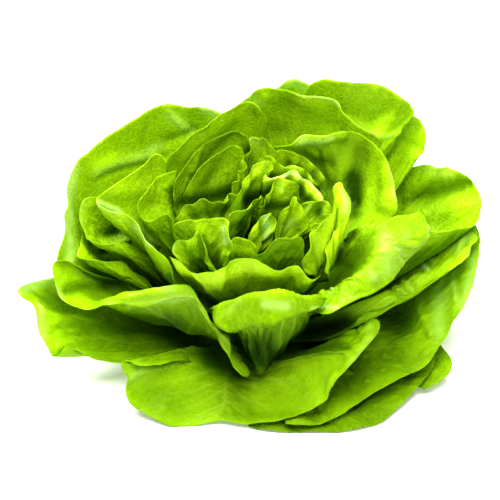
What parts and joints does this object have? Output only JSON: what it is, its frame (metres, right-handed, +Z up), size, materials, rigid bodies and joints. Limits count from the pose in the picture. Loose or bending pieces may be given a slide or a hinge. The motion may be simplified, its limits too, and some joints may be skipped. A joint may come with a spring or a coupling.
{
  "type": "head of lettuce",
  "caption": "Open rosette head of butterhead lettuce, with broad blistered outer leaves, folded middle leaves and a tight frilled heart, standing on its cut stem.",
  "frame": {"origin": "centre of the stem's flat cut foot, at the level the head stands on", "axes": "+Z is up, along the stem; -Y is the front, the side the rosette lies open towards; +X is to the right seen from the front"},
  "size_m": [0.2575, 0.1911, 0.1309],
  "materials": {
    "stem_flesh": "pale green-white cut stem flesh, matte and slightly damp",
    "outer_leaf_green": "bright deep yellow-green outer leaf, satin, blistered, with pale veins",
    "middle_leaf_green": "bright yellow-green leaf, satin, blistered, with pale veins and rim",
    "heart_leaf_green": "pale yellow-green heart leaf, satin, finely veined"
  },
  "bodies": {
    "root": {"stem": "stem_flesh", "outer_back_low": "outer_leaf_green", "outer_back_right_low": "outer_leaf_green", "outer_right_low": "outer_leaf_green", "outer_front_right": "outer_leaf_green", "outer_left": "outer_leaf_green", "outer_back": "outer_leaf_green", "right_front": "outer_leaf_green", "back_left": "outer_leaf_green", "front": "outer_leaf_green", "right": "outer_leaf_green", "right_back": "outer_leaf_green", "back_right_upper": "outer_leaf_green", "back_right": "outer_leaf_green", "left_front": "middle_leaf_green", "left_low": "middle_leaf_green", "left_mid": "middle_leaf_green", "back_top": "middle_leaf_green", "right_mid": "middle_leaf_green", "front_mid": "middle_leaf_green", "left_inner": "middle_leaf_green", "back_left_inner": "middle_leaf_green", "back_right_inner": "middle_leaf_green", "left_inner_low": "middle_leaf_green", "back_left_mid": "middle_leaf_green", "back_inner": "middle_leaf_green", "heart_frill": "heart_leaf_green", "heart_front": "heart_leaf_green", "heart_back_right": "heart_leaf_green", "heart_left_curl": "heart_leaf_green", "heart_left": "heart_leaf_green", "heart_right": "heart_leaf_green", "heart_left_back": "heart_leaf_green", "heart_back": "heart_leaf_green", "heart_front_right": "heart_leaf_green", "heart_front_left": "heart_leaf_green", "heart_core_left": "heart_leaf_green", "heart_curl": "heart_leaf_green", "heart_inner_back": "heart_leaf_green", "heart_inner_right": "heart_leaf_green", "heart_inner_left": "heart_leaf_green"}
  },
  "joints": []
}
